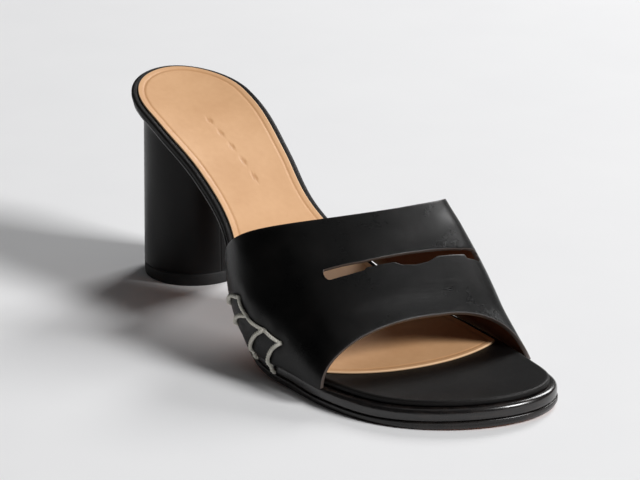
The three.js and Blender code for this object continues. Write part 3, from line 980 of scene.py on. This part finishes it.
# %% Slot outline
SLOT = np.array([
    (0.273, 0.418, 0.512),
    (0.280, 0.418, 0.512),
    (0.324, 0.428, 0.522),
    (0.362, 0.440, 0.520),
    (0.368, 0.442, 0.502),
    (0.434, 0.444, 0.504),
    (0.450, 0.443, 0.540),
    (0.479, 0.442, 0.556),
    (0.504, 0.446, 0.548),
    (0.525, 0.450, 0.510),
    (0.616, 0.456, 0.504),
    (0.624, 0.450, 0.536),
    (0.696, 0.440, 0.540),
    (0.704, 0.440, 0.540),
], dtype=[(name, float) for name in ("around", "back", "front")])
SLOT_START, SLOT_END, SLOT_CORNER = 0.273, 0.704, 0.008
SLOT_MIDDLE = 0.475


def slot_lip(name, around):
    """One lip of the slot, with softened corners and round ends."""
    fine = np.linspace(SLOT_START - 0.02, SLOT_END + 0.02, 1200)
    line = np.interp(fine, SLOT["around"], SLOT[name])
    weight = np.hanning(19)
    line = np.convolve(np.pad(line, 9, mode="edge"), weight / weight.sum(), "valid")
    end = np.minimum(around - SLOT_START, SLOT_END - around) / SLOT_CORNER
    close = np.sqrt(1 - (1 - np.clip(end, 0, 1)) ** 2)
    return SLOT_MIDDLE + (np.interp(around, fine, line) - SLOT_MIDDLE) * close


# %% Band mesh
corner = SLOT_CORNER * (1 - np.cos(np.linspace(0, np.pi / 2, 7)))
around_band = np.unique(np.round(np.concatenate([
    np.linspace(0, SLOT_START, 44), SLOT_START + corner,
    np.linspace(SLOT_START + SLOT_CORNER, SLOT_END - SLOT_CORNER, 190),
    SLOT_END - corner, np.linspace(SLOT_END, 1, 46)]), 6))
BACK_ROWS, FRONT_ROWS, FOLLOW = 30, 32, 9
back_share = np.linspace(0, 1, BACK_ROWS)[:, None]
front_share = np.linspace(1, 0, FRONT_ROWS)[:, None]
back_lip, front_lip = slot_lip("back", around_band), slot_lip("front", around_band)
LIP_BACK, LIP_FRONT = 0.44, 0.515                   # rows straighten to these, off the slot
GIRTH, DEPTH_BACK, DEPTH_FRONT, RIM_WIDTH = 190, 90, 75, 1.6    # rough lengths, mm
back_part = back_share * LIP_BACK + back_share ** FOLLOW * (back_lip - LIP_BACK)
front_part = 1 - (front_share * (1 - LIP_FRONT)
                  + front_share ** FOLLOW * (LIP_FRONT - front_lip))
along_grid = np.concatenate([back_part, front_part])
around_grid = np.broadcast_to(around_band, along_grid.shape)
grid = band_skin(along_grid, around_grid)
rows, columns = along_grid.shape
index = np.arange(rows * columns).reshape(rows, columns)
faces = [np.column_stack([index[i, :-1], index[i + 1, :-1], index[i + 1, 1:], index[i, 1:]])
         for i in range(rows - 1) if i != BACK_ROWS - 1]
upper = make_mesh("upper_band", grid.reshape(-1, 3), np.concatenate(faces).tolist(), {
    "rim": np.clip(1 - np.minimum.reduce([
        along_grid * DEPTH_BACK, (1 - along_grid) * DEPTH_FRONT,
        around_grid * GIRTH, (1 - around_grid) * GIRTH]) / RIM_WIDTH, 0, 1).ravel()})
print("band sheet:", len(upper.data.polygons), "faces")

# %% [markdown]
# The sheet gets its wall from a Solidify modifier, which also hands the inside to the lining
# and the cut rim to the inked edge. A narrow Bevel then takes the sharpness off the edges.

# %% Band wall and edges
def apply_modifiers(piece):
    """Bakes the modifiers into a plain mesh."""
    depsgraph = bpy.context.evaluated_depsgraph_get()
    baked = bpy.data.meshes.new_from_object(piece.evaluated_get(depsgraph))
    piece.modifiers.clear()
    piece.data = baked


for material in (upper_leather, lining_leather, cut_edge):
    upper.data.materials.append(material)
wall = upper.modifiers.new("wall", "SOLIDIFY")
wall.thickness = UPPER_WALL * MM
wall.offset = -1.0
wall.use_even_offset = True
wall.material_offset = 1
wall.material_offset_rim = 2
soften = upper.modifiers.new("soften", "BEVEL")
soften.width = 0.24 * MM
soften.segments = 2
soften.limit_method = "ANGLE"
soften.angle_limit = math.radians(50)
soften.use_clamp_overlap = False
soften.material = -1
apply_modifiers(upper)
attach(upper, "root")
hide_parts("upper")
print("band:", len(upper.data.polygons), "faces")

# %% [markdown]
# ## Hand stitching
# At the back of each side, thick waxed thread laces the band to the midsole like a small
# ladder: a line along the top, and a bar down from each needle hole. A Geometry Nodes tree
# turns every path into three-ply cord: it resamples the path, twists it steadily, and sweeps
# a three-lobed section along it.

# %% The thread's node tree
def thread_tree(material):
    tree = bpy.data.node_groups.new("twisted_thread", "GeometryNodeTree")
    face = tree.interface
    face.new_socket("Geometry", in_out="INPUT", socket_type="NodeSocketGeometry")
    for label, value in (("Thickness", 0.0014), ("Step", 0.0003), ("Twist", 1800.0)):
        socket = face.new_socket(label, in_out="INPUT", socket_type="NodeSocketFloat")
        socket.default_value = value
    face.new_socket("Geometry", in_out="OUTPUT", socket_type="NodeSocketGeometry")

    def node(kind, settings=None, inputs=None):
        made = tree.nodes.new(kind)
        for key, value in (settings or {}).items():
            setattr(made, key, value)
        for key, value in (inputs or {}).items():
            if isinstance(value, bpy.types.NodeSocket):
                tree.links.new(value, made.inputs[key])
            else:
                made.inputs[key].default_value = value
        return made

    given = node("NodeGroupInput").outputs
    paths = node("GeometryNodeMeshToCurve", {}, {"Mesh": given["Geometry"]}).outputs["Curve"]
    even = node("GeometryNodeResampleCurve", {"mode": "LENGTH"}, {
        "Curve": paths, "Length": given["Step"]}).outputs["Curve"]
    length = node("GeometryNodeSplineParameter").outputs["Length"]
    turn = node("ShaderNodeMath", {"operation": "MULTIPLY"}, {
        0: length, 1: given["Twist"]}).outputs[0]
    twisted = node("GeometryNodeSetCurveTilt", {}, {"Curve": even, "Tilt": turn}).outputs[0]
    third = node("ShaderNodeMath", {"operation": "MULTIPLY"}, {
        0: given["Thickness"], 1: 0.5}).outputs[0]
    waist = node("ShaderNodeMath", {"operation": "MULTIPLY"}, {
        0: given["Thickness"], 1: 0.36}).outputs[0]
    lobes = node("GeometryNodeCurveStar", {}, {
        "Points": 3, "Inner Radius": waist, "Outer Radius": third}).outputs["Curve"]
    rounder = node("GeometryNodeCurveSplineType", {"spline_type": "CATMULL_ROM"}, {
        "Curve": lobes}).outputs[0]
    section = node("GeometryNodeResampleCurve", {"mode": "COUNT"}, {
        "Curve": rounder, "Count": 12}).outputs["Curve"]
    swept = node("GeometryNodeCurveToMesh", {}, {
        "Curve": twisted, "Profile Curve": section, "Fill Caps": True}).outputs["Mesh"]
    smooth = node("GeometryNodeSetShadeSmooth", {}, {"Geometry": swept}).outputs[0]
    plain = node("GeometryNodeRealizeInstances", {}, {"Geometry": smooth}).outputs[0]
    coloured = node("GeometryNodeSetMaterial", {}, {
        "Geometry": plain, "Material": material}).outputs[0]
    node("NodeGroupOutput", {}, {0: coloured})
    return tree


BAR_THICKNESS, LINE_THICKNESS = 1.8, 1.45
BAR_BOW = 1.4             # mm that a bar bows to the back
thread_nodes = thread_tree(thread_finish)


# %% Thread paths
def soft_path(points, steps=10):
    """A smooth line through a few points."""
    points = np.asarray(points, float)
    padded = np.vstack([2 * points[0] - points[1], points, 2 * points[-1] - points[-2]])
    line = []
    for i in range(len(points) - 1):
        p0, p1, p2, p3 = padded[i:i + 4]
        t = np.linspace(0, 1, steps, endpoint=False)[:, None]
        line.append(0.5 * (2 * p1 + (p2 - p0) * t + (2 * p0 - 5 * p1 + 4 * p2 - p3) * t ** 2
                           + (3 * p1 - p0 - 3 * p2 + p3) * t ** 3))
    return np.vstack([*line, points[-1:]])


def sole_side(x, side, down, out):
    """A point beside the sole's edge, `down` mm below the top of the midsole."""
    y = edge_y(np.array(x), side) + SIGN[side] * (foot["outset"](x) + out)
    return np.array([x, float(y), float(layer_top(x)) - down])


def bar_path(side, top, foot_x):
    """One bar: out of its needle hole, down the band, over the midsole and into its edge."""
    along, around = top
    base = 0.0 if side == "lateral" else 1.0
    out = BAR_THICKNESS * 0.42
    back, front = line_at(TOP_LINE, base), line_at(TOE_LINE, base)
    foot_along = (foot_x - back) / (front - back)
    line = [band_skin(np.array(along), np.array(around), -0.5)]
    for share in (0.08, 0.34, 0.66, 0.94):
        bow = BAR_BOW / (front - back) * math.sin(math.pi * share)
        line.append(band_skin(
            np.array(along + (foot_along - along) * share - bow),
            np.array(around + (base - around) * share), out))
    drop = float(foot["drop"](foot_x))
    line.append(sole_side(foot_x, side, 0.25 * drop, out + 0.35))
    line.append(sole_side(foot_x + 0.3, side, 0.75 * drop, out - 0.35))
    line.append(sole_side(foot_x + 0.4, side, 0.95 * drop + 0.4, -1.1))
    return soft_path(line)


def top_path(tops):
    """The line along the top, drawn down a little between its needle holes."""
    line = []
    for (along, around), (next_along, next_around) in zip(tops, tops[1:]):
        for share, lift in ((0.0, -0.3), (0.12, 0.5), (0.5, 0.6), (0.88, 0.5)):
            line.append(band_skin(np.array(along + (next_along - along) * share),
                                  np.array(around + (next_around - around) * share), lift))
    line.append(band_skin(np.array(tops[-1][0]), np.array(tops[-1][1]), -0.5))
    return soft_path(line, 8)


def thread_piece(name, paths, thickness):
    """Every path as edges of one mesh, swept into cord by the node tree."""
    points, edges = [], []
    for path in paths:
        first = sum(len(p) for p in points)
        points.append(path)
        edges += [(first + i, first + i + 1) for i in range(len(path) - 1)]
    mesh = bpy.data.meshes.new(name)
    mesh.from_pydata(place(np.vstack(points)).tolist(), edges, [])
    piece = show(name, mesh)
    sweep = piece.modifiers.new("sweep", "NODES")
    sweep.node_group = thread_nodes
    for item in thread_nodes.interface.items_tree:
        if item.in_out == "INPUT" and item.name == "Thickness":
            sweep[item.identifier] = thickness * MM
    apply_modifiers(piece)
    print(name, len(piece.data.polygons), "faces")
    return piece


for side, places in STITCHES.items():
    line = [top_path(places["tops"])]
    bars = [bar_path(side, top, x) for top, x in zip(places["tops"], places["feet"])]
    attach(thread_piece(f"stitch_line_{side}", line, LINE_THICKNESS), "root")
    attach(thread_piece(f"stitch_bars_{side}", bars, BAR_THICKNESS), "root")

# %% [markdown]
# ## Floor and light
# A pale seamless floor, a large soft light from the right and behind, which draws the long
# soft shadow to the left, and a weak fill. The room stays fairly dark, so black leather
# stays black and shows only the shapes of the lights.

# %% Floor
FLOOR_HALF = 12.0
floor_mesh = bpy.data.meshes.new("floor")
floor_mesh.from_pydata([(-FLOOR_HALF, -FLOOR_HALF, 0), (FLOOR_HALF, -FLOOR_HALF, 0),
                        (FLOOR_HALF, FLOOR_HALF, 0), (-FLOOR_HALF, FLOOR_HALF, 0)],
                       [], [(0, 1, 2, 3)])
floor = show("floor", floor_mesh)
paper = Finish("floor_paper")
fibre = paper.noise(60.0, 2.0)
floor_mesh.materials.append(paper.surface({
    "Base Color": paper.mix((0.80, 0.80, 0.81, 1), (0.84, 0.84, 0.845, 1), fibre),
    "Roughness": 0.9, "Specular IOR Level": 0.1}))

# %% Lights
def softbox(name, azimuth, height, away, size, power):
    """A square light facing the shoe. azimuth turns from the toe to the inner side."""
    turn, rise = math.radians(azimuth), math.radians(height)
    towards = Vector((math.cos(rise) * math.cos(turn), math.cos(rise) * math.sin(turn),
                      math.sin(rise)))
    light = bpy.data.lights.new(name, "AREA")
    light.size, light.energy = size, power
    lamp = show(name, light)
    lamp.location = Vector(place(AIM_AT_FOOT)) + towards * away
    lamp.rotation_euler = (-towards).to_track_quat("-Z", "Y").to_euler()


softbox("key", azimuth=28, height=34, away=4.0, size=1.25, power=178)
softbox("back_right", azimuth=112, height=36, away=2.2, size=0.8, power=24)
softbox("overhead", azimuth=100, height=84, away=3.0, size=2.6, power=5)
world = bpy.data.worlds.new("studio")
world.use_nodes = True
world.node_tree.nodes["Background"].inputs["Color"].default_value = (0.97, 0.98, 1.0, 1)
world.node_tree.nodes["Background"].inputs["Strength"].default_value = 0.045
bpy.context.scene.world = world
bpy.context.scene.view_settings.view_transform = "Standard"
